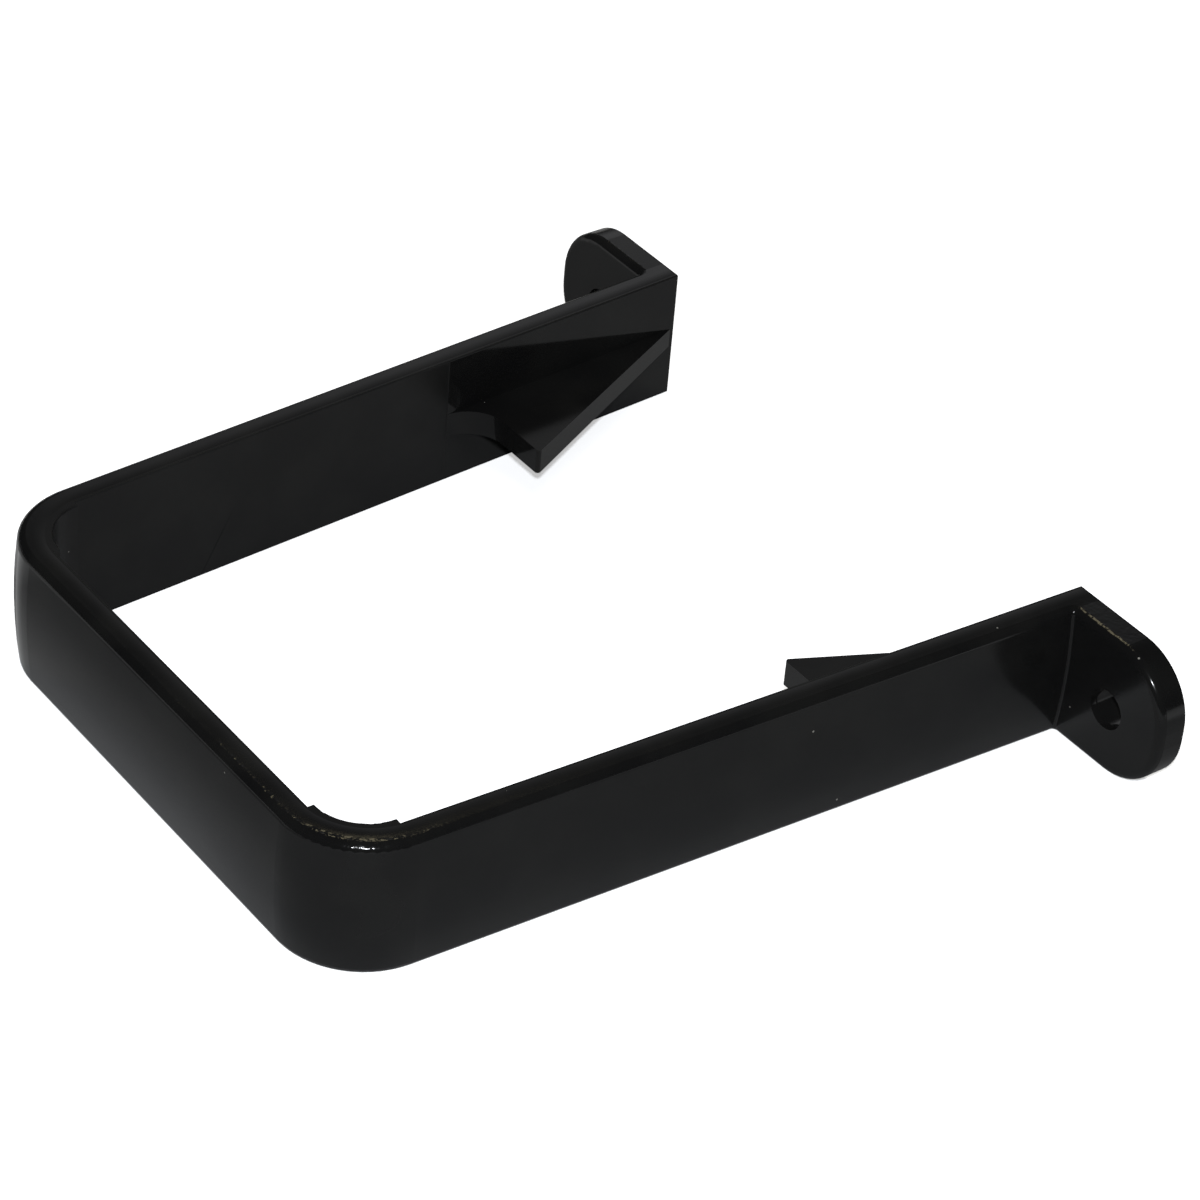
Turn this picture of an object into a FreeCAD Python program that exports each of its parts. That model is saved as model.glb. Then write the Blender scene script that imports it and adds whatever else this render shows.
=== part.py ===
import FreeCAD, Part
import math
import os
import Sketcher

# Downpipe clip for a square pipe, moulded in one piece.
# Frame: the wall is the plane y = 0 and the clip stands out from it towards -y.
# x runs along the wall, z runs up the pipe, and the origin lies midway between the screw holes.

SIZES = [
    ("seat_width", 66.0, "clear width between the arms at the front bar"),
    ("seat_depth", 65.6, "front bar's inner face to the catches"),
    ("stand_off", 31.0, "catches' front faces to the wall"),
    ("splay", 3.15, "degrees each arm leans outward towards the wall"),
    ("strap_height", 17.55, "height of the strap along the pipe"),
    ("strap_edge", 3.25, "strap thickness at its upper and lower edges, before rounding"),
    ("crown", 0.55, "extra thickness at the middle of the outer face"),
    ("corner_radius", 10.65, "outer radius of the front corners"),
    ("pad_step", 0.77, "how far the corner pads stand proud of the strap"),
    ("pad_round", 6.3, "inner radius of the corner pads"),
    ("ear_reach", 19.2, "arm's inner face to the ear's end, at the wall"),
    ("ear_thickness", 3.75, "thickness of the ears"),
    ("ear_round", 7.8, "radius of the ears' outer corners"),
    ("ear_root", 0.3, "radius in the corner between ear and arm"),
    ("hole_diameter", 5.0, "screw hole"),
    ("hole_from_arm", 10.5, "arm's inner face to the screw hole, at the wall"),
    ("hole_height", 8.2, "lower edge to the screw hole"),
    ("catch_reach", 12.6, "how far the catches stand in from the arms"),
    ("catch_top", 9.7, "lower edge to the catches' flat top"),
    ("catch_tip", 3.3, "catch thickness at its tip"),
    ("catch_end", 2.6, "catch thickness at the wall"),
    ("catch_root", 5.0, "radius in the corner between catch and arm"),
    ("catch_nose", 0.4, "rounding on the catch's tip"),
    ("ramp_gap", 0.5, "end of the catch's ramp to the wall"),
    ("rim_radius", 1.0, "rounding of the strap's and ears' outer rim"),
    ("inner_radius", 0.2, "rounding of the strap's and pads' inner edges"),
]
SIZE = {name: value for name, value, meaning in SIZES}

# Lengths that follow from the driving sizes, as expressions on the sheet.
REACH = "(Sizes.seat_depth + Sizes.stand_off)"
ARM_AT_WALL = f"(Sizes.seat_width / 2 + {REACH} * tan(Sizes.splay))"
BEND = "(Sizes.corner_radius - Sizes.strap_edge)"
HALF_EDGE = "(Sizes.strap_edge / 2)"
PAD = "(Sizes.pad_step + Sizes.pad_round)"
PAD_X = f"(Sizes.seat_width / 2 + {PAD} * tan(Sizes.splay) - {PAD} / cos(Sizes.splay))"
PAD_BACK = f"({PAD} + {HALF_EDGE})"
EAR_ROUND = "min(Sizes.ear_round; Sizes.strap_height * 0.46)"
CROWN_RADIUS = "(Sizes.strap_height * Sizes.strap_height / Sizes.crown / 8 + Sizes.crown / 2)"
CATCH_Z = "(Sizes.catch_top - Sizes.hole_height)"
ARM_AT_CATCH = "(Sizes.seat_width / 2 + Sizes.seat_depth * tan(Sizes.splay))"
ROOT_X = ("(Sizes.seat_width / 2 + (Sizes.seat_depth - Sizes.catch_root) * tan(Sizes.splay)"
          " - Sizes.catch_root / cos(Sizes.splay))")

# The same lengths as numbers, to place the sketches' first geometry and to find edges.
TAN = math.tan(math.radians(SIZE["splay"]))
COS = math.cos(math.radians(SIZE["splay"]))
SIN = math.sin(math.radians(SIZE["splay"]))
reach = SIZE["seat_depth"] + SIZE["stand_off"]
edge = SIZE["strap_edge"]
bend = SIZE["corner_radius"] - edge
bend_x = SIZE["seat_width"] / 2 + bend * TAN - bend / COS
bend_y = bend - reach
low = -SIZE["hole_height"]
high = low + SIZE["strap_height"]
ear_round = min(SIZE["ear_round"], SIZE["strap_height"] * 0.46)
catch_z = SIZE["catch_top"] - SIZE["hole_height"]

# The arms are drawn past the wall plane by this much and then trimmed flush with it.
OVERRUN = 2.0
TOLERANCE = 0.02


def arm_x(y):
    """x of the right arm's inner face at a given y."""
    return SIZE["seat_width"] / 2 + (y + reach) * TAN


def vector(x, y, z=0.0):
    return FreeCAD.Vector(x, y, z)


doc = FreeCAD.newDocument("downpipe_clip")
sheet = doc.addObject("Spreadsheet::Sheet", "Sizes")
for row, (name, value, meaning) in enumerate(SIZES, start=1):
    sheet.set(f"A{row}", name)
    sheet.set(f"B{row}", str(value))
    sheet.set(f"C{row}", meaning)
    sheet.setAlias(f"B{row}", name)
doc.recompute()

body = doc.addObject("PartDesign::Body", "downpipe_clip")
body.Label = "downpipe_clip"


def origin_plane(role):
    for item in body.Origin.OriginFeatures:
        if item.Role == role:
            return item
    raise RuntimeError("no plane " + role)


def add_sketch(name, role, base=None, turn_axis=None):
    """A sketch on one of the body's own planes; base and turn are expressions."""
    sketch = body.newObject("Sketcher::SketchObject", name)
    sketch.AttachmentSupport = [(origin_plane(role), "")]
    sketch.MapMode = "FlatFace"
    if turn_axis is not None:
        sketch.AttachmentOffset = FreeCAD.Placement(vector(0, 0), FreeCAD.Rotation(turn_axis, SIZE["splay"]))
        sketch.setExpression("AttachmentOffset.Rotation.Angle", "Sizes.splay")
    for axis, expression in (base or {}).items():
        sketch.setExpression("AttachmentOffset.Base." + axis, expression)
    return sketch


def line(sketch, start, end):
    return sketch.addGeometry(Part.LineSegment(vector(*start), vector(*end)), False)


def arc(sketch, centre, radius, start, end):
    """Counter-clockwise arc; start and end in degrees."""
    circle = Part.Circle(vector(*centre), vector(0, 0, 1), radius)
    return sketch.addGeometry(Part.ArcOfCircle(circle, math.radians(start), math.radians(end)), False)


def rule(sketch, kind, *args):
    return sketch.addConstraint(Sketcher.Constraint(kind, *args))


def size(sketch, kind, *args):
    """A dimension whose last argument is an expression; the first value comes from the drawn geometry."""
    *geometry, expression = args
    index = rule(sketch, kind, *geometry, measure(sketch, kind, geometry))
    sketch.setExpression(f"Constraints[{index}]", expression)


def measure(sketch, kind, args):
    """Reads a dimension off the geometry as drawn."""
    if kind == "Radius":
        return sketch.Geometry[args[0]].Radius
    if kind == "Diameter":
        return sketch.Geometry[args[0]].Radius * 2
    first = sketch.getPoint(args[0], args[1])
    second = sketch.getPoint(args[2], args[3])
    return second.x - first.x if kind == "DistanceX" else second.y - first.y


START, END, CENTRE = range(1, 4)
ORIGIN = (-1, 1)
Y_AXIS = -2

# Strap: a crowned section carried along the U of the inner face.
path = add_sketch("StrapPath", "XY_Plane")
far_x = arm_x(OVERRUN)
touch = (bend_x + bend * COS, bend_y - bend * SIN)
right_arm = line(path, (far_x, OVERRUN), touch)
right_bend = arc(path, (bend_x, bend_y), bend, -90, -SIZE["splay"])
front = line(path, (bend_x, -reach), (-bend_x, -reach))
left_bend = arc(path, (-bend_x, bend_y), bend, 180 + SIZE["splay"], 270)
left_arm = line(path, (-touch[0], touch[1]), (-far_x, OVERRUN))
corner = path.addGeometry(Part.Point(vector(SIZE["seat_width"] / 2, -reach)), True)
rule(path, "Tangent", right_arm, END, right_bend, END)
rule(path, "Tangent", right_bend, START, front, START)
rule(path, "Tangent", front, END, left_bend, END)
rule(path, "Tangent", left_bend, START, left_arm, START)
rule(path, "Symmetric", right_arm, START, left_arm, END, Y_AXIS)
rule(path, "Symmetric", front, START, front, END, Y_AXIS)
rule(path, "PointOnObject", corner, START, front)
rule(path, "PointOnObject", corner, START, right_arm)
rule(path, "Equal", right_bend, left_bend)
size(path, "Radius", right_bend, BEND)
size(path, "DistanceX", *ORIGIN, corner, START, "Sizes.seat_width / 2")
size(path, "DistanceY", corner, START, *ORIGIN, REACH)
size(path, "DistanceY", *ORIGIN, right_arm, START, str(OVERRUN))
size(path, "DistanceX", *ORIGIN, right_arm, START, f"{ARM_AT_WALL} + {OVERRUN} * tan(Sizes.splay)")

section_base = {"x": f"{ARM_AT_WALL} + {OVERRUN} * tan(Sizes.splay)", "z": str(-OVERRUN)}
section = add_sketch("StrapSection", "XZ_Plane", section_base, vector(0, -1, 0))
crown_radius = (SIZE["strap_height"] ** 2 / 4 + SIZE["crown"] ** 2) / (2 * SIZE["crown"])
half_turn = math.degrees(math.asin(SIZE["strap_height"] / 2 / crown_radius))
crown_centre = (edge + SIZE["crown"] - crown_radius, (low + high) / 2)
inner = line(section, (0, low), (0, high))
upper = line(section, (0, high), (edge, high))
outer = arc(section, crown_centre, crown_radius, -half_turn, half_turn)
lower = line(section, (edge, low), (0, low))
rule(section, "Coincident", inner, END, upper, START)
rule(section, "Coincident", upper, END, outer, END)
rule(section, "Coincident", outer, START, lower, START)
rule(section, "Coincident", lower, END, inner, START)
rule(section, "Vertical", inner)
rule(section, "Horizontal", upper)
rule(section, "Horizontal", lower)
rule(section, "PointOnObject", inner, START, Y_AXIS)
rule(section, "Equal", upper, lower)
size(section, "DistanceY", inner, START, *ORIGIN, "Sizes.hole_height")
size(section, "DistanceY", inner, START, inner, END, "Sizes.strap_height")
size(section, "DistanceX", upper, START, upper, END, "Sizes.strap_edge")
size(section, "Radius", outer, CROWN_RADIUS)
doc.recompute()

strap = body.newObject("PartDesign::AdditivePipe", "Strap")
strap.Profile = section
strap.Spine = (path, [f"Edge{number}" for number in range(1, 6)])
doc.recompute()

# The arms' ends are trimmed flush with the wall.
trim_sketch = add_sketch("WallTrimOutline", "XZ_Plane")
trim_half = arm_x(0) * 1.5
trim_low = low * 2
trim_high = high * 2
bottom = line(trim_sketch, (-trim_half, trim_low), (trim_half, trim_low))
right = line(trim_sketch, (trim_half, trim_low), (trim_half, trim_high))
top = line(trim_sketch, (trim_half, trim_high), (-trim_half, trim_high))
left = line(trim_sketch, (-trim_half, trim_high), (-trim_half, trim_low))
rule(trim_sketch, "Coincident", bottom, END, right, START)
rule(trim_sketch, "Coincident", right, END, top, START)
rule(trim_sketch, "Coincident", top, END, left, START)
rule(trim_sketch, "Coincident", left, END, bottom, START)
rule(trim_sketch, "Horizontal", bottom)
rule(trim_sketch, "Horizontal", top)
rule(trim_sketch, "Vertical", right)
rule(trim_sketch, "Vertical", left)
size(trim_sketch, "DistanceX", *ORIGIN, right, START, f"{ARM_AT_WALL} * 1.5")
size(trim_sketch, "DistanceX", left, START, *ORIGIN, f"{ARM_AT_WALL} * 1.5")
size(trim_sketch, "DistanceY", bottom, START, *ORIGIN, "Sizes.hole_height * 2")
size(trim_sketch, "DistanceY", *ORIGIN, top, START, "(Sizes.strap_height - Sizes.hole_height) * 2")
wall_trim = body.newObject("PartDesign::Pocket", "WallTrim")
wall_trim.Profile = trim_sketch
wall_trim.Type = "ThroughAll"
doc.recompute()

# Ear with rounded corners, in the wall plane.
ear_sketch = add_sketch("EarOutline", "XZ_Plane")
ear_start = arm_x(0) + edge / 2
ear_end = arm_x(0) + SIZE["ear_reach"]
ear_low = line(ear_sketch, (ear_start, low), (ear_end - ear_round, low))
ear_low_bend = arc(ear_sketch, (ear_end - ear_round, low + ear_round), ear_round, -90, 0)
ear_tip = line(ear_sketch, (ear_end, low + ear_round), (ear_end, high - ear_round))
ear_high_bend = arc(ear_sketch, (ear_end - ear_round, high - ear_round), ear_round, 0, 90)
ear_high = line(ear_sketch, (ear_end - ear_round, high), (ear_start, high))
ear_inner = line(ear_sketch, (ear_start, high), (ear_start, low))
rule(ear_sketch, "Tangent", ear_low, END, ear_low_bend, START)
rule(ear_sketch, "Tangent", ear_low_bend, END, ear_tip, START)
rule(ear_sketch, "Tangent", ear_tip, END, ear_high_bend, START)
rule(ear_sketch, "Tangent", ear_high_bend, END, ear_high, START)
rule(ear_sketch, "Coincident", ear_high, END, ear_inner, START)
rule(ear_sketch, "Coincident", ear_inner, END, ear_low, START)
rule(ear_sketch, "Horizontal", ear_low)
rule(ear_sketch, "Vertical", ear_inner)
rule(ear_sketch, "Equal", ear_low_bend, ear_high_bend)
rule(ear_sketch, "Vertical", ear_tip)
size(ear_sketch, "Radius", ear_low_bend, EAR_ROUND)
size(ear_sketch, "DistanceY", ear_low, START, *ORIGIN, "Sizes.hole_height")
size(ear_sketch, "DistanceY", ear_inner, END, ear_inner, START, "Sizes.strap_height")
size(ear_sketch, "DistanceX", *ORIGIN, ear_inner, START, f"{ARM_AT_WALL} + {HALF_EDGE}")
size(ear_sketch, "DistanceX", *ORIGIN, ear_tip, START, f"{ARM_AT_WALL} + Sizes.ear_reach")
ear = body.newObject("PartDesign::Pad", "Ear")
ear.Profile = ear_sketch
ear.setExpression("Length", "Sizes.ear_thickness")
doc.recompute()

hole_sketch = add_sketch("ScrewHoleOutline", "XZ_Plane")
hole_x = arm_x(0) + SIZE["hole_from_arm"]
hole_radius = SIZE["hole_diameter"] / 2
hole_circle = hole_sketch.addGeometry(Part.Circle(vector(hole_x, 0), vector(0, 0, 1), hole_radius), False)
rule(hole_sketch, "PointOnObject", hole_circle, CENTRE, -1)
size(hole_sketch, "Diameter", hole_circle, "Sizes.hole_diameter")
size(hole_sketch, "DistanceX", *ORIGIN, hole_circle, CENTRE, f"{ARM_AT_WALL} + Sizes.hole_from_arm")
screw_hole = body.newObject("PartDesign::Pocket", "ScrewHole")
screw_hole.Profile = hole_sketch
screw_hole.Type = "ThroughAll"
screw_hole.Reversed = True
doc.recompute()

# Pad that thickens the inside of the front corner, with a small step at each end.
pad_sketch = add_sketch("CornerPadOutline", "XY_Plane", {"z": "-Sizes.hole_height"})
pad_round = SIZE["pad_round"]
pad_offset = SIZE["pad_step"] + pad_round
pad_centre = (SIZE["seat_width"] / 2 + pad_offset * TAN - pad_offset / COS, pad_offset - reach)
pad_back_radius = pad_offset + edge / 2


def on_pad(radius, degrees):
    turn = math.radians(degrees)
    return pad_centre[0] + radius * math.cos(turn), pad_centre[1] + radius * math.sin(turn)


pad_face = arc(pad_sketch, pad_centre, pad_round, -90, -SIZE["splay"])
pad_back = arc(pad_sketch, pad_centre, pad_back_radius, -90, -SIZE["splay"])
pad_arm = line(pad_sketch, on_pad(pad_round, -SIZE["splay"]), on_pad(pad_back_radius, -SIZE["splay"]))
pad_front = line(pad_sketch, on_pad(pad_back_radius, -90), on_pad(pad_round, -90))
rule(pad_sketch, "Coincident", pad_face, CENTRE, pad_back, CENTRE)
rule(pad_sketch, "Coincident", pad_face, END, pad_arm, START)
rule(pad_sketch, "Coincident", pad_arm, END, pad_back, END)
rule(pad_sketch, "Coincident", pad_back, START, pad_front, START)
rule(pad_sketch, "Coincident", pad_front, END, pad_face, START)
rule(pad_sketch, "Vertical", pad_front)
size(pad_sketch, "DistanceX", *ORIGIN, pad_face, CENTRE, PAD_X)
size(pad_sketch, "DistanceY", pad_face, CENTRE, *ORIGIN, f"{REACH} - {PAD}")
size(pad_sketch, "DistanceX", *ORIGIN, pad_front, START, PAD_X)
size(pad_sketch, "Radius", pad_face, "Sizes.pad_round")
size(pad_sketch, "Radius", pad_back, PAD_BACK)
size(pad_sketch, "DistanceY", pad_arm, START, pad_face, CENTRE, "Sizes.pad_round * sin(Sizes.splay)")
size(pad_sketch, "DistanceY", pad_arm, END, pad_face, CENTRE, f"{PAD_BACK} * sin(Sizes.splay)")
corner_pad = body.newObject("PartDesign::Pad", "CornerPad")
corner_pad.Profile = pad_sketch
corner_pad.setExpression("Length", "Sizes.strap_height")
doc.recompute()

# Catch: a flat-topped ramp on the arm's inner face that holds the pipe's back.
catch_sketch = add_sketch("CatchOutline", "XY_Plane", {"z": CATCH_Z})
root = SIZE["catch_root"]
root_y = -SIZE["stand_off"] - root
root_x = arm_x(root_y) - root / COS
ramp_end = (arm_x(-SIZE["ramp_gap"]), -SIZE["ramp_gap"])
tip = (arm_x(-SIZE["stand_off"]) - SIZE["catch_reach"], -SIZE["stand_off"])
root_end = (root_x + root * COS, root_y - root * SIN)
ramp = line(catch_sketch, ramp_end, tip)
face = line(catch_sketch, tip, (root_x, -SIZE["stand_off"]))
blend = arc(catch_sketch, (root_x, root_y), root, -SIZE["splay"], 90)
into_arm = line(catch_sketch, root_end, (root_end[0] + edge / 2, root_end[1]))
buried_side = line(catch_sketch, (root_end[0] + edge / 2, root_end[1]), (ramp_end[0] + edge / 2, ramp_end[1]))
out_of_arm = line(catch_sketch, (ramp_end[0] + edge / 2, ramp_end[1]), ramp_end)
rule(catch_sketch, "Coincident", ramp, END, face, START)
rule(catch_sketch, "Tangent", face, END, blend, END)
rule(catch_sketch, "Coincident", blend, START, into_arm, START)
rule(catch_sketch, "Coincident", into_arm, END, buried_side, START)
rule(catch_sketch, "Coincident", buried_side, END, out_of_arm, START)
rule(catch_sketch, "Coincident", out_of_arm, END, ramp, START)
rule(catch_sketch, "Horizontal", face)
rule(catch_sketch, "Horizontal", into_arm)
rule(catch_sketch, "Horizontal", out_of_arm)
size(catch_sketch, "DistanceY", face, START, *ORIGIN, "Sizes.stand_off")
size(catch_sketch, "DistanceX", *ORIGIN, face, START, f"{ARM_AT_CATCH} - Sizes.catch_reach")
size(catch_sketch, "DistanceY", ramp, START, *ORIGIN, "Sizes.ramp_gap")
size(catch_sketch, "DistanceX", *ORIGIN, ramp, START, f"{ARM_AT_WALL} - Sizes.ramp_gap * tan(Sizes.splay)")
size(catch_sketch, "Radius", blend, "Sizes.catch_root")
size(catch_sketch, "DistanceX", *ORIGIN, blend, CENTRE, ROOT_X)
size(catch_sketch, "DistanceY", blend, START, blend, CENTRE, "Sizes.catch_root * sin(Sizes.splay)")
size(catch_sketch, "DistanceX", into_arm, START, into_arm, END, HALF_EDGE)
size(catch_sketch, "DistanceX", out_of_arm, END, out_of_arm, START, HALF_EDGE)
catch = body.newObject("PartDesign::Pad", "Catch")
catch.Profile = catch_sketch
catch.setExpression("Length", "Sizes.catch_tip")
catch.Reversed = True
doc.recompute()

# The catch's underside rises from its tip to the wall.
# This sketch lies in the arm's inner face, so the cut stays clear of the arm.
slope_sketch = add_sketch("CatchSlope", "YZ_Plane", {"z": ARM_AT_WALL}, vector(0, -1, 0))
flat_z = catch_z - SIZE["catch_tip"]
rise = (SIZE["catch_tip"] - SIZE["catch_end"]) / SIZE["stand_off"]
slope_top = flat_z + (SIZE["stand_off"] + OVERRUN) * rise
slope = line(slope_sketch, (-SIZE["stand_off"], flat_z), (OVERRUN, slope_top))
beyond = line(slope_sketch, (OVERRUN, slope_top), (OVERRUN, flat_z - OVERRUN))
below = line(slope_sketch, (OVERRUN, flat_z - OVERRUN), (-SIZE["stand_off"], flat_z - OVERRUN))
back_up = line(slope_sketch, (-SIZE["stand_off"], flat_z - OVERRUN), (-SIZE["stand_off"], flat_z))
rule(slope_sketch, "Coincident", slope, END, beyond, START)
rule(slope_sketch, "Coincident", beyond, END, below, START)
rule(slope_sketch, "Coincident", below, END, back_up, START)
rule(slope_sketch, "Coincident", back_up, END, slope, START)
rule(slope_sketch, "Vertical", beyond)
rule(slope_sketch, "Horizontal", below)
rule(slope_sketch, "Vertical", back_up)
RISE = f"((Sizes.catch_tip - Sizes.catch_end) * (Sizes.stand_off + {OVERRUN}) / Sizes.stand_off)"
size(slope_sketch, "DistanceX", slope, START, *ORIGIN, "Sizes.stand_off")
size(slope_sketch, "DistanceX", *ORIGIN, slope, END, str(OVERRUN))
size(slope_sketch, "DistanceY", slope, START, *ORIGIN, f"Sizes.catch_tip - {CATCH_Z}")
size(slope_sketch, "DistanceY", slope, START, slope, END, RISE)
size(slope_sketch, "DistanceY", below, END, slope, START, str(OVERRUN))
catch_slope = body.newObject("PartDesign::Pocket", "CatchUnderside")
catch_slope.Profile = slope_sketch
catch_slope.setExpression("Length", "Sizes.catch_reach * 1.5")
doc.recompute()

other_side = body.newObject("PartDesign::Mirrored", "OtherSide")
other_side.Originals = [ear, screw_hole, corner_pad, catch, catch_slope]
other_side.MirrorPlane = (origin_plane("YZ_Plane"), [""])
body.Tip = other_side
doc.recompute()


def three_points(one_edge):
    first, last = one_edge.ParameterRange
    return [one_edge.valueAt(first + (last - first) * share) for share in (0.0, 0.5, 1.0)]


def outward(point):
    """How far a point lies outside the strap's inner face, in plan."""
    x = abs(point.x)
    if x > bend_x and point.y < bend_y - (x - bend_x) * TAN:
        return math.hypot(x - bend_x, point.y - bend_y) - bend
    if x <= bend_x and point.y < bend_y:
        return -reach - point.y
    return (x - arm_x(point.y)) * COS


def near(value, target):
    return abs(value - target) < TOLERANCE


def edge_names(shape, test):
    """Names of the edges whose start, middle and end all pass the test."""
    return [f"Edge{number}" for number, item in enumerate(shape.Edges, start=1)
            if all(test(point) for point in three_points(item))]


def add_fillet(name, test, radius):
    base = body.Tip
    names = edge_names(base.Shape, test)
    if not names:
        raise RuntimeError("no edges for " + name)
    fillet = body.newObject("PartDesign::Fillet", name)
    fillet.Base = (base, names)
    fillet.setExpression("Radius", radius)
    body.Tip = fillet
    doc.recompute()
    return fillet


def on_nose(point):
    return near(abs(point.x), tip[0]) and near(point.y, tip[1])


def in_ear_corner(point):
    root_of_ear = arm_x(-SIZE["ear_thickness"]) + edge / COS
    inside = abs(point.x) < root_of_ear + SIZE["crown"] * 1.2
    return near(point.y, -SIZE["ear_thickness"]) and inside and outward(point) > edge - TOLERANCE


def at_rim(point):
    return near(point.z, low) or near(point.z, high)


def on_outer_edge(point):
    ear_front = near(point.y, -SIZE["ear_thickness"])
    hole_end = hole_x + hole_radius
    if ear_front and abs(point.x) > hole_end:
        return at_rim(point) or abs(point.x) > ear_end - ear_round - TOLERANCE
    return at_rim(point) and outward(point) > edge - TOLERANCE and point.y < TOLERANCE - SIZE["ear_thickness"]


def on_inner_edge(point):
    return at_rim(point) and near(outward(point), 0)


def on_pad_edge(point):
    from_centre = math.hypot(abs(point.x) - pad_centre[0], point.y - pad_centre[1])
    return at_rim(point) and near(from_centre, pad_round)


add_fillet("NoseRound", on_nose, "Sizes.catch_nose")
add_fillet("EarRoot", in_ear_corner, "Sizes.ear_root")
add_fillet("RimRound", on_outer_edge, "Sizes.rim_radius")
add_fillet("InnerRound", on_inner_edge, "Sizes.inner_radius")
add_fillet("PadRound", on_pad_edge, "Sizes.inner_radius")

for item in doc.Objects:
    if "Invalid" in item.State or "Error" in item.State:
        raise RuntimeError(item.Name + " did not build")
shape = body.Shape
if shape.isNull() or not shape.isValid() or len(shape.Solids) != 1:
    raise RuntimeError("the clip is not one valid solid")

os.makedirs("parts", exist_ok=True)
shape.exportStep("parts/downpipe_clip.step")
box = shape.optimalBoundingBox(False, False)
print("volume mm3", round(shape.Volume, 1))
print("box mm", round(box.XLength, 2), round(box.YLength, 2), round(box.ZLength, 2))
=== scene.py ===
import math

import bpy
from mathutils import Matrix, Vector


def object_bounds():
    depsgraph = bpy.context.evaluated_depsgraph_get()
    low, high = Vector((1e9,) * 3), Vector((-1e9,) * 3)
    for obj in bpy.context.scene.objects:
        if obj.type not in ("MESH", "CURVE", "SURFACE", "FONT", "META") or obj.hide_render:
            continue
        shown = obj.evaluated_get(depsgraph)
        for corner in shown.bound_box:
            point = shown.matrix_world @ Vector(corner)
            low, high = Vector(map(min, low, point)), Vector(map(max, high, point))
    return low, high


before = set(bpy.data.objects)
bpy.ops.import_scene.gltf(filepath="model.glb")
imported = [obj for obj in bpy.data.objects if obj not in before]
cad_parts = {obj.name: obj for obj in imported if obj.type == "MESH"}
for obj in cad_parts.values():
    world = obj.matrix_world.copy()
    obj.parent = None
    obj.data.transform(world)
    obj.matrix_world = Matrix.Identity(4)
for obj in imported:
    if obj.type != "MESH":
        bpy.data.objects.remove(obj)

bl_info = {
    "name": "Downpipe clip",
    "version": (1, 0, 0),
    "blender": (4, 5, 0),
    "location": "3D View > Sidebar > Downpipe Clip",
    "description": "Dresses a moulded downpipe clip in black PVC and sets it on a white studio table",
    "category": "Object",
}

# The clip as it is loaded: one node
CLIP = "downpipe_clip"
CAD_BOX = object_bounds()

MM = 0.001
WHITE = (1.0, 1.0, 1.0)

# The strap in plan and its catches, in millimetres, with the arms' lean in radians
SEAT_WIDTH = 66.0
FRONT_DEPTH = 96.6
INNER_BEND = 7.4
STRAP_EDGE = 3.25
ARM_SPLAY = math.radians(3.15)
CATCH_ROOT_DEPTH = 36.2
CATCH_FOOT = -1.8

# The crown of the strap's upper and lower edges, in millimetres outward from the inner face
CROWN_START = 0.4
CROWN_CREST = 1.1
CROWN_END = 1.8

# A narrow flat where the ears' front rim starts to round over, in millimetres and as a slope
EAR_FLAT_DEPTH = 2.75
EAR_FLAT_WIDTH = 0.235
EAR_FLAT_SLOPE = 0.242

# The mould's waves and cutter marks, in millimetres, with each turn as the normal's upward part
PEEL_DEPTH = 0.0015
CHATTER_DEPTH = 0.16
RIM_TURN_START = 0.46
RIM_TURN_END = 0.88
RIM_BAND_START = 1.8
RIM_BAND_END = 2.6
FRONT_MARKS_START = -97.0
FRONT_MARKS_END = -80.0
ARM_MARKS_LEVEL = 0.12
RIGHT_MARKS_START = -20.0
RIGHT_MARKS_END = 38.0
LEFT_MARKS_LEVEL = 0.1
EAR_MARKS_TURN = 0.9
EAR_MARKS_LEVEL = 0.5

# Faces towards the pipe, their scuffed edges and their lines, in millimetres and turns
INNER_REACH = 0.3
UPRIGHT_TURN = 0.15
SCUFF_TURN = 0.57
SCUFF_TURN_SPAN = 0.425
SEAM_HALF_WIDTH = 0.12
FLOW_MARK_DEPTH = 67.63
FLOW_MARK_LEAN = 0.573
FLOW_MARK_HALF_WIDTH = 0.15
FLOW_MARK_FADE_START = -4.0
FLOW_MARK_FADE_END = 2.0

# Drifting gloss, bloom and dust: a width in millimetres, noise levels, and a reach as a share of a cell
DRIFT_WIDTH = 9.0
GLOSS_DRIFT = 0.04
BLOOM_START = 0.35
BLOOM_END = 0.68
DUST_CHANCE = 0.6
DUST_REACH = 0.038
PVC_IOR = 1.53

# The paper's brightness as shares of its own colour, with fades and places in millimetres: painted light by
# the clip's foot, painted fill in the flash's shade, and the burnt-out white the lens sees
FOOT_FADE = 2.5
FOOT_PEAK = 0.62
FOOT_BASE = 0.68
FRONT_FADE = 7.0
FRONT_PEAK = 1.35
FRONT_BASE = 0.45
CORNER_START = 0.0
CORNER_END = 30.0
WALL_SIDE_START = -45.0
WALL_SIDE_END = -5.0
WALL_SIDE_GAIN = 0.24
BEHIND_START = 22.0
BEHIND_END = 36.0
LEFT_START = -46.0
LEFT_END = -56.0
EAR_SIDE_START = -25.0
EAR_SIDE_END = -45.0
RIGHT_START = -10.0
RIGHT_END = 4.0
RIGHT_SHARE = 0.4
PAINTED_FILL_GAIN = 1.1
BURNT_COLOUR = (3.0, 3.0, 3.0, 1.0)
GLARE_STRENGTH = 0.5

# The room: a glow about one direction, over a dim level
ROOM_COLOUR = "#f8f9fc"
WALL_BEARING = math.radians(-130.0)
WALL_RISE = math.radians(22.0)
WALL_FOCUS = 40.0
WALL_GLOW = 0.44
ROOM_GLOW = 0.020

# The stage, in metres, with the width of the camera's frame in millimetres
TABLE_WIDTH = 8.0
FLASH_LIFT = 0.04
FLASH_SIZE = 0.02
LAMP_SIZE = 0.25
FILL_SIZE = 1.0
FRAME_WIDTH = 36.0
NEAREST_SEEN = 0.01


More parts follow.
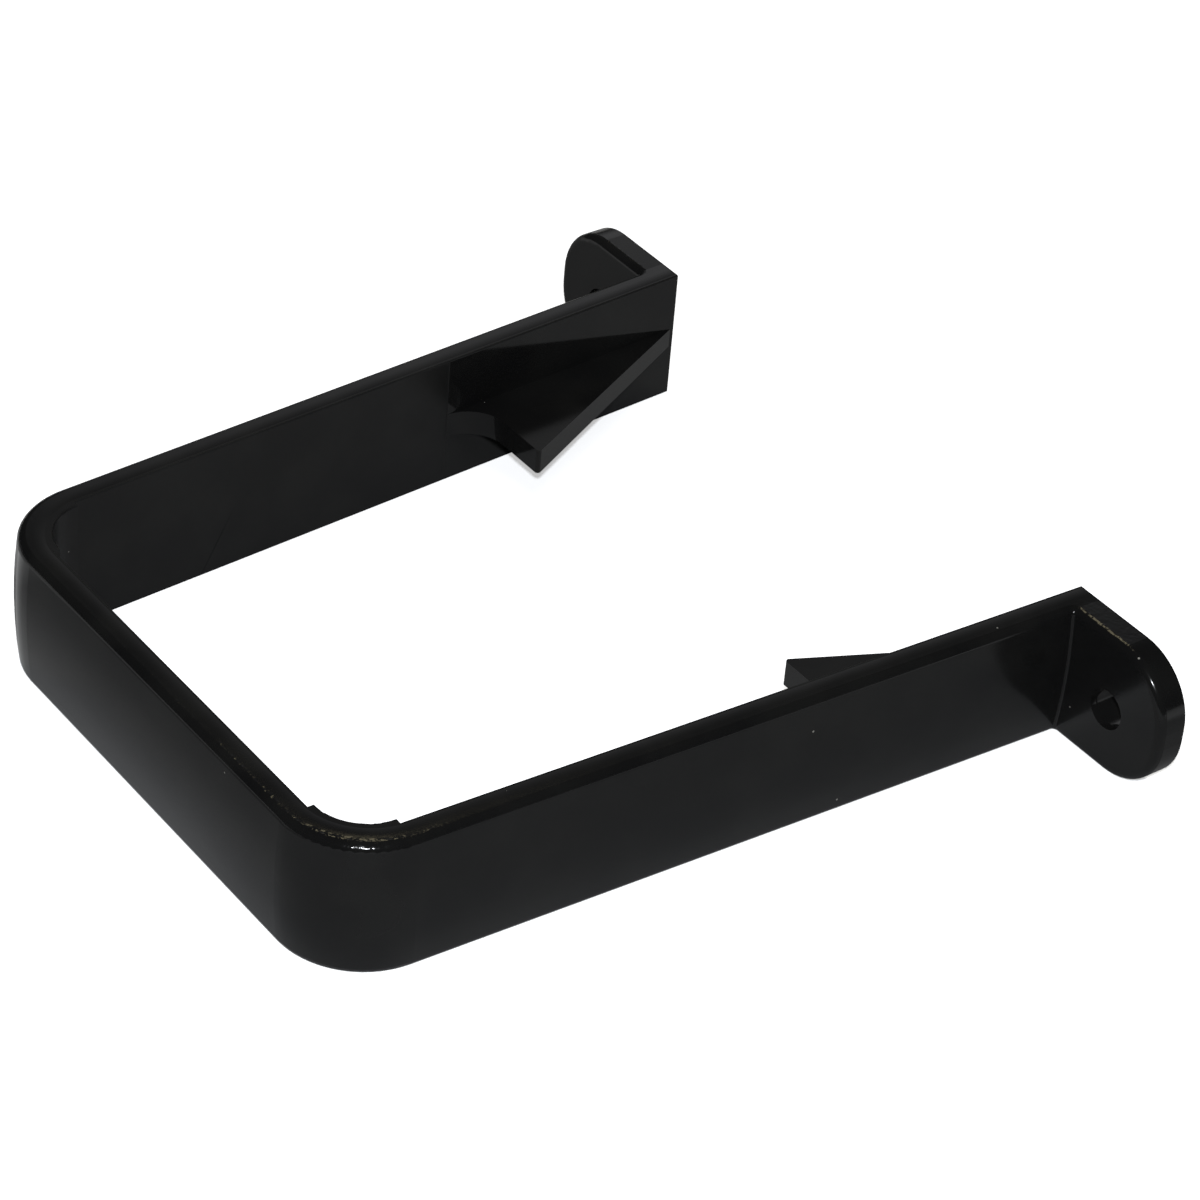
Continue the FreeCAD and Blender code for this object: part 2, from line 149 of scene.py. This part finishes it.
def linear(hex_colour):
    """Turns an sRGB hex colour into the linear red, green and blue that Blender works in."""
    channels = []
    for start in (1, 3, 5):
        value = int(hex_colour[start:start + 2], 16) / 255
        if value <= 0.04045:
            channels.append(value / 12.92)
        else:
            channels.append(((value + 0.055) / 1.055) ** 2.4)
    return tuple(channels)


def towards(bearing, rise):
    """Unit vector at a bearing from straight in front of the bar, and at a rise above the table."""
    flat = math.cos(rise)
    return Vector((math.sin(bearing) * flat, -math.cos(bearing) * flat, math.sin(rise)))


class ClipFinish(bpy.types.PropertyGroup):
    """The clip's moulded PVC."""

    pvc_colour: bpy.props.FloatVectorProperty(
        name="PVC colour", description="Body colour of the black PVC",
        subtype="COLOR", min=0.0, max=1.0, default=linear("#1f1f1f"))
    bloom_colour: bpy.props.FloatVectorProperty(
        name="Bloom colour", description="Body colour where handling has left a faint grey bloom",
        subtype="COLOR", min=0.0, max=1.0, default=linear("#272726"))
    dust_colour: bpy.props.FloatVectorProperty(
        name="Dust colour", description="Colour of the specks of dust that cling to the clip",
        subtype="COLOR", min=0.0, max=1.0, default=linear("#c9c6bd"))
    gloss: bpy.props.FloatProperty(
        name="Roughness", description="Roughness of the clean moulded faces",
        subtype="FACTOR", min=0.0, max=1.0, default=0.14)
    inner_gloss: bpy.props.FloatProperty(
        name="Inner roughness", description="Roughness of the faces towards the pipe",
        subtype="FACTOR", min=0.0, max=1.0, default=0.30)
    insert_gloss: bpy.props.FloatProperty(
        name="Insert roughness", description="Roughness where a polished mould insert formed the catches",
        subtype="FACTOR", min=0.0, max=1.0, default=0.08)
    scuff_gloss: bpy.props.FloatProperty(
        name="Scuff roughness",
        description="Roughness of the scuffed inner edges, the insert's line and the flow mark",
        subtype="FACTOR", min=0.0, max=1.0, default=0.65)
    edge_crown: bpy.props.FloatProperty(
        name="Edge crown",
        description="How far the strap's upper and lower edges swell above their inner corner",
        subtype="DISTANCE", unit="LENGTH", default=0.05 * MM)
    peel_width: bpy.props.FloatProperty(
        name="Peel width", description="Width of the faint waves that the mould leaves on the faces",
        subtype="DISTANCE", unit="LENGTH", default=1.6 * MM)
    chatter_width: bpy.props.FloatProperty(
        name="Chatter width",
        description="Spacing of the cutter marks that the mould leaves on rounded rims",
        subtype="DISTANCE", unit="LENGTH", default=0.7 * MM)
    dust_spacing: bpy.props.FloatProperty(
        name="Dust spacing", description="Mean distance between places where a speck of dust may lie",
        subtype="DISTANCE", unit="LENGTH", default=4.0 * MM)


class ClipStage(bpy.types.PropertyGroup):
    """The table, the lights and the camera."""

    azimuth: bpy.props.FloatProperty(
        name="Azimuth", description="Camera's bearing round the clip, from straight in front of the bar",
        subtype="ANGLE", unit="ROTATION", default=math.radians(51.062))
    elevation: bpy.props.FloatProperty(
        name="Elevation", description="Camera's angle above the table",
        subtype="ANGLE", unit="ROTATION", default=math.radians(36.173))
    roll: bpy.props.FloatProperty(
        name="Roll", description="Camera's tilt about its own line of sight",
        subtype="ANGLE", unit="ROTATION", default=math.radians(4.969))
    camera_place: bpy.props.FloatVectorProperty(
        name="Camera place", description="Where the camera stands",
        subtype="TRANSLATION", unit="LENGTH", default=(0.29429, -0.27680, 0.27421))
    lens: bpy.props.FloatProperty(
        name="Lens", description="Focal length on a frame 36 mm wide, in millimetres",
        subtype="DISTANCE_CAMERA", unit="CAMERA", default=120.44)
    paper_colour: bpy.props.FloatVectorProperty(
        name="Paper colour", description="Colour of the white paper under the clip",
        subtype="COLOR", min=0.0, max=1.0, default=linear("#e8e8e8"))
    flash_power: bpy.props.FloatProperty(
        name="Flash power", description="Power of the small light beside the lens",
        unit="POWER", default=0.68)
    flash_colour: bpy.props.FloatVectorProperty(
        name="Flash colour", description="Colour of the small light beside the lens",
        subtype="COLOR", min=0.0, max=1.0, default=linear("#f6faff"))
    lamp_power: bpy.props.FloatProperty(
        name="Lamp power", description="Power of the warm lamp overhead",
        unit="POWER", default=0.34)
    lamp_bearing: bpy.props.FloatProperty(
        name="Lamp bearing",
        description="Warm lamp's bearing round the clip, from straight in front of the bar",
        subtype="ANGLE", unit="ROTATION", default=math.radians(-122.0))
    lamp_rise: bpy.props.FloatProperty(
        name="Lamp rise", description="Warm lamp's angle above the table",
        subtype="ANGLE", unit="ROTATION", default=math.radians(56.0))
    lamp_distance: bpy.props.FloatProperty(
        name="Lamp distance", description="Warm lamp's distance from the clip's middle",
        subtype="DISTANCE", unit="LENGTH", default=1.2)
    lamp_colour: bpy.props.FloatVectorProperty(
        name="Lamp colour", description="Colour of the warm lamp overhead",
        subtype="COLOR", min=0.0, max=1.0, default=linear("#fff2c8"))
    fill_power: bpy.props.FloatProperty(
        name="Fill power", description="Power of the wide soft light straight above",
        unit="POWER", default=1.2)
    fill_height: bpy.props.FloatProperty(
        name="Fill height", description="Height of the wide soft light above the clip",
        subtype="DISTANCE", unit="LENGTH", default=1.0)


def add(tree, kind, inputs=None, **settings):
    """Adds a node to a tree, sets its settings, and sets or links its input sockets.

    An input is a plain value, a socket, or a node, which stands for its first output in use.
    """
    node = tree.nodes.new(kind)
    for name, value in settings.items():
        setattr(node, name, value)
    for name, value in (inputs or {}).items():
        if isinstance(value, bpy.types.Node):
            value = next(socket for socket in value.outputs if socket.enabled)
        if isinstance(value, bpy.types.NodeSocket):
            tree.links.new(value, node.inputs[name])
        else:
            node.inputs[name].default_value = value
    return node


def empty_material(name):
    """A new material whose node tree holds nothing yet."""
    material = bpy.data.materials.new(name)
    material.use_nodes = True
    material.node_tree.nodes.clear()
    return material


def outward_distance(tree, place):
    """Distance outward from the strap's inner face in plan, for a place given in millimetres.

    The plan is folded about both axes, so what lies behind the wall plane repeats what lies before it.
    """
    folded = add(tree, "ShaderNodeVectorMath", {0: place}, operation="ABSOLUTE")
    arm_normal = (math.cos(ARM_SPLAY), math.sin(ARM_SPLAY), 0.0)
    sideways = add(tree, "ShaderNodeVectorMath", {0: folded, 1: arm_normal}, operation="DOT_PRODUCT")
    forward = add(tree, "ShaderNodeSeparateXYZ", {"Vector": folded}).outputs["Y"]
    both = add(tree, "ShaderNodeCombineXYZ", {"X": sideways, "Y": forward})
    arm_line = SEAT_WIDTH / 2 * math.cos(ARM_SPLAY) + FRONT_DEPTH * math.sin(ARM_SPLAY)
    bend_centre = (arm_line - INNER_BEND, FRONT_DEPTH - INNER_BEND, 0.0)
    past = add(tree, "ShaderNodeVectorMath", {0: both, 1: bend_centre}, operation="SUBTRACT")
    outside = add(tree, "ShaderNodeVectorMath", {0: past, 1: (0.0, 0.0, 0.0)}, operation="MAXIMUM")
    length = add(tree, "ShaderNodeVectorMath", {0: outside}, operation="LENGTH")
    return add(tree, "ShaderNodeMath", {0: length, 1: INNER_BEND}, operation="SUBTRACT")


class Spot:
    """Where a shaded point lies in the clip's own frame, in millimetres."""

    def __init__(self, tree):
        place = add(tree, "ShaderNodeTexCoord").outputs["Object"]
        self.place = add(tree, "ShaderNodeMapping", {"Vector": place, "Scale": (1 / MM,) * 3})
        self.x, self.y, self.z = add(tree, "ShaderNodeSeparateXYZ", {"Vector": self.place}).outputs
        self.outward = outward_distance(tree, self.place)


def crowned_edges(tree, spot, crown):
    """The strap's upper and lower edges, which swell a little about a crest along the strap."""
    on_edge = add(tree, "ShaderNodeClamp", {"Value": spot.outward, "Min": CROWN_START, "Max": CROWN_END})
    from_crest = add(tree, "ShaderNodeMath", {0: on_edge, 1: CROWN_CREST}, operation="SUBTRACT")
    curved = add(tree, "ShaderNodeMath", {0: from_crest, 1: from_crest}, operation="MULTIPLY")
    past_crown = add(tree, "ShaderNodeMath", {0: spot.outward, 1: CROWN_END}, operation="SUBTRACT")
    straight = add(tree, "ShaderNodeClamp", {
        "Value": past_crown, "Min": 0.0, "Max": STRAP_EDGE - CROWN_END})
    end_slope = 2 * (CROWN_END - CROWN_CREST)
    fall = add(tree, "ShaderNodeMath", {0: straight, 1: end_slope, 2: curved}, operation="MULTIPLY_ADD")
    return add(tree, "ShaderNodeBump", {"Height": fall, "Distance": crown / CROWN_CREST ** 2}, invert=True)


def ear_flats(tree, past_top, past_strap, normal):
    """The start of the ears' rim: a narrow flat, which takes up the rounding's own slope."""
    on_flat = add(tree, "ShaderNodeClamp", {"Value": past_top, "Min": 0.0, "Max": EAR_FLAT_WIDTH})
    # The drop is the slope times the way along the flat, less half of that way squared
    mean_slope = add(tree, "ShaderNodeMath", {
        0: on_flat, 1: -0.5, 2: EAR_FLAT_SLOPE}, operation="MULTIPLY_ADD")
    drop = add(tree, "ShaderNodeMath", {0: on_flat, 1: mean_slope}, operation="MULTIPLY")
    ear_drop = add(tree, "ShaderNodeMath", {0: drop, 1: past_strap}, operation="MULTIPLY")
    return add(tree, "ShaderNodeBump", {"Height": ear_drop, "Distance": MM, "Normal": normal}, invert=True)


def rim_marks(tree, spot, upward):
    """How strong the cutter marks are where the upper rim rounds over: most at the front and right."""
    above = add(tree, "ShaderNodeMapRange", {
        "Value": upward, "From Min": RIM_TURN_START, "From Max": RIM_TURN_END},
        interpolation_type="SMOOTHSTEP")
    beside_rim = add(tree, "ShaderNodeMapRange", {
        "Value": spot.outward, "From Min": RIM_BAND_START, "From Max": RIM_BAND_END},
        interpolation_type="SMOOTHSTEP")
    rim = add(tree, "ShaderNodeMath", {0: above, 1: beside_rim}, operation="MULTIPLY")
    near_front = add(tree, "ShaderNodeMapRange", {
        "Value": spot.y, "From Min": FRONT_MARKS_START, "From Max": FRONT_MARKS_END,
        "To Min": 1.0, "To Max": ARM_MARKS_LEVEL})
    near_side = add(tree, "ShaderNodeMapRange", {
        "Value": spot.x, "From Min": RIGHT_MARKS_START, "From Max": RIGHT_MARKS_END,
        "To Min": LEFT_MARKS_LEVEL, "To Max": 1.0})
    front_rim = add(tree, "ShaderNodeMath", {0: rim, 1: near_front}, operation="MULTIPLY")
    return add(tree, "ShaderNodeMath", {0: front_rim, 1: near_side}, operation="MULTIPLY")


def ear_marks(tree, past_top, past_strap, upward):
    """How strong the cutter marks are along the flat on the ears' upper edge."""
    rounding = add(tree, "ShaderNodeMath", {
        0: past_top, 1: EAR_FLAT_WIDTH / 2, 2: EAR_FLAT_WIDTH}, operation="COMPARE")
    over_ear = add(tree, "ShaderNodeMath", {0: past_strap, 1: rounding}, operation="MULTIPLY")
    ear_top = add(tree, "ShaderNodeMath", {0: upward, 1: EAR_MARKS_TURN}, operation="GREATER_THAN")
    ear_line = add(tree, "ShaderNodeMath", {0: over_ear, 1: ear_top}, operation="MULTIPLY")
    return add(tree, "ShaderNodeMath", {0: ear_line, 1: EAR_MARKS_LEVEL}, operation="MULTIPLY")


def pvc_normal(tree, spot, upward, finish):
    """The moulded surface: crowned edges, the ears' flats, waves of the polish and cutter marks."""
    past_top = add(tree, "ShaderNodeMath", {
        0: spot.y, 1: -1.0, 2: -EAR_FLAT_DEPTH}, operation="MULTIPLY_ADD")
    past_strap = add(tree, "ShaderNodeMath", {0: spot.outward, 1: STRAP_EDGE}, operation="GREATER_THAN")
    crowned = crowned_edges(tree, spot, finish.edge_crown)
    flattened = ear_flats(tree, past_top, past_strap, crowned)
    peel = add(tree, "ShaderNodeTexNoise", {
        "Vector": spot.place, "Scale": MM / finish.peel_width, "Detail": 1.0})
    waved = add(tree, "ShaderNodeBump", {
        "Height": peel, "Distance": PEEL_DEPTH * MM, "Normal": flattened})
    on_rim = rim_marks(tree, spot, upward)
    on_ear = ear_marks(tree, past_top, past_strap, upward)
    marked = add(tree, "ShaderNodeMath", {0: on_rim, 1: on_ear}, operation="MAXIMUM")
    chatter = add(tree, "ShaderNodeTexNoise", {
        "Vector": spot.place, "Scale": MM / finish.chatter_width, "Detail": 1.0})
    return add(tree, "ShaderNodeBump", {
        "Height": chatter, "Strength": marked, "Distance": CHATTER_DEPTH * MM, "Normal": waved})


def insert_seam(tree, spot):
    """A fine line beside each catch, where a polished insert closed the mould."""
    on_line = add(tree, "ShaderNodeMath", {
        0: spot.y, 1: -CATCH_ROOT_DEPTH, 2: SEAM_HALF_WIDTH}, operation="COMPARE")
    above_foot = add(tree, "ShaderNodeMath", {0: spot.z, 1: CATCH_FOOT}, operation="GREATER_THAN")
    return add(tree, "ShaderNodeMath", {0: on_line, 1: above_foot}, operation="MULTIPLY")


def flow_mark(tree, spot):
    """A slanting line on the left where two streams of plastic met, which fades out half way up."""
    leaning = add(tree, "ShaderNodeMath", {
        0: spot.z, 1: -FLOW_MARK_LEAN, 2: spot.y}, operation="MULTIPLY_ADD")
    on_mark = add(tree, "ShaderNodeMath", {
        0: leaning, 1: -FLOW_MARK_DEPTH, 2: FLOW_MARK_HALF_WIDTH}, operation="COMPARE")
    fading = add(tree, "ShaderNodeMapRange", {
        "Value": spot.z, "From Min": FLOW_MARK_FADE_START, "From Max": FLOW_MARK_FADE_END,
        "To Min": 1.0, "To Max": 0.0})
    faded = add(tree, "ShaderNodeMath", {0: on_mark, 1: fading}, operation="MULTIPLY")
    on_left = add(tree, "ShaderNodeMath", {0: spot.x, 1: 0.0}, operation="LESS_THAN")
    return add(tree, "ShaderNodeMath", {0: faded, 1: on_left}, operation="MULTIPLY")


def pvc_roughness(tree, spot, upward, drift, finish):
    """Gloss that drifts a little, duller on faces towards the pipe, with a polished patch at each catch."""
    within = add(tree, "ShaderNodeMath", {0: spot.outward, 1: INNER_REACH}, operation="LESS_THAN")
    flatness = add(tree, "ShaderNodeMath", {0: upward}, operation="ABSOLUTE")
    upright = add(tree, "ShaderNodeMath", {0: flatness, 1: UPRIGHT_TURN}, operation="LESS_THAN")
    inner = add(tree, "ShaderNodeMath", {0: within, 1: upright}, operation="MULTIPLY")
    behind_line = add(tree, "ShaderNodeMath", {0: spot.y, 1: -CATCH_ROOT_DEPTH}, operation="GREATER_THAN")
    insert = add(tree, "ShaderNodeMath", {0: inner, 1: behind_line}, operation="MULTIPLY")

    # Dull places: the inner faces' rounded edges, and the lines on those faces
    rounded = add(tree, "ShaderNodeMath", {
        0: flatness, 1: SCUFF_TURN, 2: SCUFF_TURN_SPAN}, operation="COMPARE")
    scuffed = add(tree, "ShaderNodeMath", {0: within, 1: rounded}, operation="MULTIPLY")
    seam = insert_seam(tree, spot)
    mark = flow_mark(tree, spot)
    lines = add(tree, "ShaderNodeMath", {0: seam, 1: mark}, operation="MAXIMUM")
    inner_lines = add(tree, "ShaderNodeMath", {0: lines, 1: inner}, operation="MULTIPLY")
    dull = add(tree, "ShaderNodeMath", {0: inner_lines, 1: scuffed}, operation="MAXIMUM")

    roughness = add(tree, "ShaderNodeMapRange", {
        "Value": drift, "To Min": finish.gloss - GLOSS_DRIFT, "To Max": finish.gloss + GLOSS_DRIFT})
    layers = ((inner, finish.inner_gloss), (insert, finish.insert_gloss), (dull, finish.scuff_gloss))
    for share, gloss in layers:
        roughness = add(tree, "ShaderNodeMix", {
            "Factor": share, "A": roughness, "B": gloss}, data_type="FLOAT")
    return roughness


def pvc_colour(tree, spot, drift, finish):
    """Black under a faint bloom of handling, with a small dot of dust in one cell out of many."""
    bloom = add(tree, "ShaderNodeMapRange", {
        "Value": drift, "From Min": BLOOM_START, "From Max": BLOOM_END}, interpolation_type="SMOOTHSTEP")
    specks = add(tree, "ShaderNodeTexVoronoi", {"Vector": spot.place, "Scale": MM / finish.dust_spacing})
    chance = add(tree, "ShaderNodeSeparateColor", {"Color": specks.outputs["Color"]})
    reach = add(tree, "ShaderNodeMapRange", {
        "Value": chance.outputs["Red"], "From Min": DUST_CHANCE, "From Max": 1.0,
        "To Min": 0.0, "To Max": DUST_REACH})
    dust = add(tree, "ShaderNodeMath", {0: specks.outputs["Distance"], 1: reach}, operation="LESS_THAN")
    colour = (*finish.pvc_colour, 1.0)
    for share, layer in ((bloom, finish.bloom_colour), (dust, finish.dust_colour)):
        colour = add(tree, "ShaderNodeMix", {
            "Factor": share, "A": colour, "B": (*layer, 1.0)}, data_type="RGBA")
    return colour


def moulded_black_pvc(finish):
    """Rigid PVC, injection moulded in black.

    A polished mould gives it a hard even gloss over a deep black, so the eye sees little but what it
    mirrors. Faint waves, cutter marks on the rims and clinging dust break that gloss up.
    """
    material = empty_material("moulded_black_pvc")
    tree = material.node_tree
    spot = Spot(tree)
    facing = add(tree, "ShaderNodeNewGeometry").outputs["Normal"]
    upward = add(tree, "ShaderNodeSeparateXYZ", {"Vector": facing}).outputs["Z"]
    drift = add(tree, "ShaderNodeTexNoise", {
        "Vector": spot.place, "Scale": 1 / DRIFT_WIDTH, "Detail": 3.0})
    shader = add(tree, "ShaderNodeBsdfPrincipled", {
        "Base Color": pvc_colour(tree, spot, drift, finish),
        "Roughness": pvc_roughness(tree, spot, upward, drift, finish),
        "IOR": PVC_IOR,
        "Normal": pvc_normal(tree, spot, upward, finish)})
    add(tree, "ShaderNodeOutputMaterial", {"Surface": shader})
    return material


def painted_glow_past(tree, distance, fade, peak, base):
    """Painted light on the paper: a base level plus a peak at the strap's outer foot that fades with
    distance, in millimetres.
    """
    past = add(tree, "ShaderNodeMath", {0: distance, 1: STRAP_EDGE}, operation="SUBTRACT")
    fades = add(tree, "ShaderNodeMath", {0: past, 1: -1.0 / fade}, operation="MULTIPLY")
    fading = add(tree, "ShaderNodeMath", {0: fades}, operation="EXPONENT")
    outside = add(tree, "ShaderNodeMath", {0: distance, 1: STRAP_EDGE / 2}, operation="GREATER_THAN")
    shown = add(tree, "ShaderNodeMath", {0: fading, 1: outside}, operation="MULTIPLY")
    return add(tree, "ShaderNodeMath", {0: shown, 1: peak, 2: base}, operation="MULTIPLY_ADD")


def painted_light_by_foot(tree, spot, between_arms):
    """Painted light on the paper, brightest along the clip's foot; in front of the bar it fades over a
    longer way, and between the arms it rises towards the wall.
    """
    ahead = add(tree, "ShaderNodeMath", {
        0: spot.y, 1: -1.0, 2: -FRONT_DEPTH}, operation="MULTIPLY_ADD")
    foot = painted_glow_past(tree, spot.outward, FOOT_FADE, FOOT_PEAK, FOOT_BASE)
    front = painted_glow_past(tree, ahead, FRONT_FADE, FRONT_PEAK, FRONT_BASE)
    in_front = add(tree, "ShaderNodeMath", {0: ahead, 1: STRAP_EDGE / 2}, operation="GREATER_THAN")
    left_of_corner = add(tree, "ShaderNodeMapRange", {
        "Value": spot.x, "From Min": CORNER_START, "From Max": CORNER_END,
        "To Min": 1.0, "To Max": 0.0}, interpolation_type="SMOOTHSTEP")
    share = add(tree, "ShaderNodeMath", {0: in_front, 1: left_of_corner}, operation="MULTIPLY")
    round_foot = add(tree, "ShaderNodeMix", {"Factor": share, "A": foot, "B": front}, data_type="FLOAT")
    towards_wall = add(tree, "ShaderNodeMapRange", {
        "Value": spot.y, "From Min": WALL_SIDE_START, "From Max": WALL_SIDE_END,
        "To Min": 0.0, "To Max": WALL_SIDE_GAIN})
    return add(tree, "ShaderNodeMath", {
        0: between_arms, 1: towards_wall, 2: round_foot}, operation="MULTIPLY_ADD")


def painted_fill_places(tree, spot, between_arms):
    """Where the paper gets painted fill light: behind the clip, left of it and inside its right arm, in the
    flash's shade.
    """
    behind = add(tree, "ShaderNodeMapRange", {
        "Value": spot.y, "From Min": BEHIND_START, "From Max": BEHIND_END})
    left = add(tree, "ShaderNodeMapRange", {
        "Value": spot.x, "From Min": LEFT_START, "From Max": LEFT_END})
    before_ear = add(tree, "ShaderNodeMapRange", {
        "Value": spot.y, "From Min": EAR_SIDE_START, "From Max": EAR_SIDE_END})
    beside_arm = add(tree, "ShaderNodeMath", {0: left, 1: before_ear}, operation="MULTIPLY")
    right_half = add(tree, "ShaderNodeMapRange", {
        "Value": spot.x, "From Min": RIGHT_START, "From Max": RIGHT_END,
        "To Min": 0.0, "To Max": RIGHT_SHARE})
    inside = add(tree, "ShaderNodeMath", {0: right_half, 1: between_arms}, operation="MULTIPLY")
    beside = add(tree, "ShaderNodeMath", {0: behind, 1: beside_arm}, operation="MAXIMUM")
    return add(tree, "ShaderNodeMath", {0: beside, 1: inside}, operation="MAXIMUM")


def matt_white_paper(colour):
    """Matt paper. The clip mirrors it as it is lit, with painted light by the clip's foot and painted fill
    in the flash's shade, and the lens sees it burnt out to white.
    """
    material = empty_material("matt_white_paper")
    tree = material.node_tree
    spot = Spot(tree)
    between_arms = add(tree, "ShaderNodeMath", {0: spot.outward, 1: STRAP_EDGE / 2}, operation="LESS_THAN")
    shaded = painted_fill_places(tree, spot, between_arms)
    painted_foot_light = painted_light_by_foot(tree, spot, between_arms)
    # The paper's colour carries painted light: the pool by the clip's foot plus painted fill in the flash's
    # shade
    paper_painted_light = add(tree, "ShaderNodeMath", {0: shaded, 1: PAINTED_FILL_GAIN, 2: painted_foot_light}, operation="MULTIPLY_ADD")
    painted_paper_colour = add(tree, "ShaderNodeVectorMath", {0: tuple(colour), "Scale": paper_painted_light}, operation="SCALE")
    lit = add(tree, "ShaderNodeBsdfDiffuse", {"Color": painted_paper_colour})
    burnt = add(tree, "ShaderNodeBsdfDiffuse", {"Color": BURNT_COLOUR})
    glare = add(tree, "ShaderNodeEmission", {"Color": (*WHITE, 1.0), "Strength": GLARE_STRENGTH})
    overexposed = add(tree, "ShaderNodeAddShader", {0: burnt, 1: glare})
    seen = add(tree, "ShaderNodeLightPath").outputs["Is Camera Ray"]
    mixed = add(tree, "ShaderNodeMixShader", {0: seen, 1: lit, 2: overexposed})
    add(tree, "ShaderNodeOutputMaterial", {"Surface": mixed})
    return material


def studio_surround():
    """A dim room with a pale wall low behind the clip. The lens sees all of it as white."""
    world = bpy.data.worlds.new("studio_surround")
    bpy.context.scene.world = world
    world.use_nodes = True
    tree = world.node_tree
    tree.nodes.clear()
    direction = add(tree, "ShaderNodeTexCoord").outputs["Generated"]
    wall = towards(WALL_BEARING, WALL_RISE)
    along = add(tree, "ShaderNodeVectorMath", {0: direction, 1: wall}, operation="DOT_PRODUCT")
    facing = add(tree, "ShaderNodeMath", {0: along, 1: 0.0}, operation="MAXIMUM")
    spread = add(tree, "ShaderNodeMath", {0: facing, 1: WALL_FOCUS}, operation="POWER")
    glow = add(tree, "ShaderNodeMath", {0: spread, 1: WALL_GLOW, 2: ROOM_GLOW}, operation="MULTIPLY_ADD")
    seen = add(tree, "ShaderNodeLightPath").outputs["Is Camera Ray"]
    strength = add(tree, "ShaderNodeMix", {"Factor": seen, "A": glow, "B": 1.0}, data_type="FLOAT")
    background = add(tree, "ShaderNodeBackground", {
        "Color": (*linear(ROOM_COLOUR), 1.0), "Strength": strength})
    add(tree, "ShaderNodeOutputWorld", {"Surface": background})


def area_light(name, place, aim, size, power, colour):
    """A round lamp at a place, turned to face a point."""
    data = bpy.data.lights.new(name, "AREA")
    data.shape = "DISK"
    data.size = size
    data.energy = power
    data.color = colour
    lamp = bpy.data.objects.new(name, data)
    bpy.context.collection.objects.link(lamp)
    turn = (Vector(aim) - Vector(place)).to_track_quat("-Z", "Y")
    lamp.matrix_world = Matrix.Translation(place) @ turn.to_matrix().to_4x4()
    return lamp


class CLIP_OT_dress(bpy.types.Operator):
    """Dresses the clip in moulded black PVC"""

    bl_idname = "clip.dress"
    bl_label = "Dress the clip"

    def execute(self, context):
        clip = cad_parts.get(CLIP)
        if clip is None:
            raise RuntimeError("the frame holds no clip")
        material = moulded_black_pvc(context.scene.clip_finish)
        for slot in clip.material_slots:
            slot.material = material
        return {"FINISHED"}


class CLIP_OT_stage(bpy.types.Operator):
    """Sets the white table, the lights and the camera"""

    bl_idname = "clip.stage"
    bl_label = "Set the stage"

    def execute(self, context):
        stage = context.scene.clip_stage
        lowest, highest = CAD_BOX
        middle = (lowest + highest) / 2

        bpy.ops.object.select_all(action="DESELECT")
        bpy.ops.mesh.primitive_plane_add(size=TABLE_WIDTH, location=(0.0, 0.0, lowest.z))
        table = context.object
        table.name = "paper_table"
        bpy.ops.object.transform_apply(location=True)
        table.data.materials.append(matt_white_paper(stage.paper_colour))

        studio_surround()
        camera_place = Vector(stage.camera_place)
        flash_place = camera_place + Vector((0.0, 0.0, FLASH_LIFT))
        area_light("flash", flash_place, middle, FLASH_SIZE, stage.flash_power, stage.flash_colour)
        lamp_place = middle + towards(stage.lamp_bearing, stage.lamp_rise) * stage.lamp_distance
        area_light("ceiling_lamp", lamp_place, middle, LAMP_SIZE, stage.lamp_power, stage.lamp_colour)
        fill_place = middle + Vector((0.0, 0.0, stage.fill_height))
        fill = area_light("overhead_fill", fill_place, middle, FILL_SIZE, stage.fill_power, WHITE)
        fill.visible_glossy = False

        data = bpy.data.cameras.new("camera")
        data.sensor_width = FRAME_WIDTH
        data.lens = stage.lens
        data.clip_start = NEAREST_SEEN
        camera = bpy.data.objects.new("camera", data)
        context.collection.objects.link(camera)
        back = towards(stage.azimuth, stage.elevation)
        turn = back.to_track_quat("Z", "Y").to_matrix() @ Matrix.Rotation(stage.roll, 3, "Z")
        camera.matrix_world = Matrix.Translation(camera_place) @ turn.to_4x4()
        context.scene.camera = camera
        context.scene.view_settings.view_transform = "Standard"
        return {"FINISHED"}


class CLIP_PT_panel(bpy.types.Panel):
    """Lists the clip's finish, its stage and their steps"""

    bl_idname = "CLIP_PT_panel"
    bl_label = "Downpipe Clip"
    bl_space_type = "VIEW_3D"
    bl_region_type = "UI"
    bl_category = "Downpipe Clip"

    def draw(self, context):
        scene = context.scene
        for group, step in ((scene.clip_finish, CLIP_OT_dress), (scene.clip_stage, CLIP_OT_stage)):
            for name in group.__annotations__:
                self.layout.prop(group, name)
            self.layout.operator(step.bl_idname)


CLASSES = (ClipFinish, ClipStage, CLIP_OT_dress, CLIP_OT_stage, CLIP_PT_panel)


def register():
    for kind in CLASSES:
        bpy.utils.register_class(kind)
    bpy.types.Scene.clip_finish = bpy.props.PointerProperty(type=ClipFinish)
    bpy.types.Scene.clip_stage = bpy.props.PointerProperty(type=ClipStage)


def unregister():
    del bpy.types.Scene.clip_stage
    del bpy.types.Scene.clip_finish
    for kind in reversed(CLASSES):
        bpy.utils.unregister_class(kind)


def main():
    register()
    bpy.ops.clip.dress()
    bpy.ops.clip.stage()


if __name__ == "__main__":
    main()
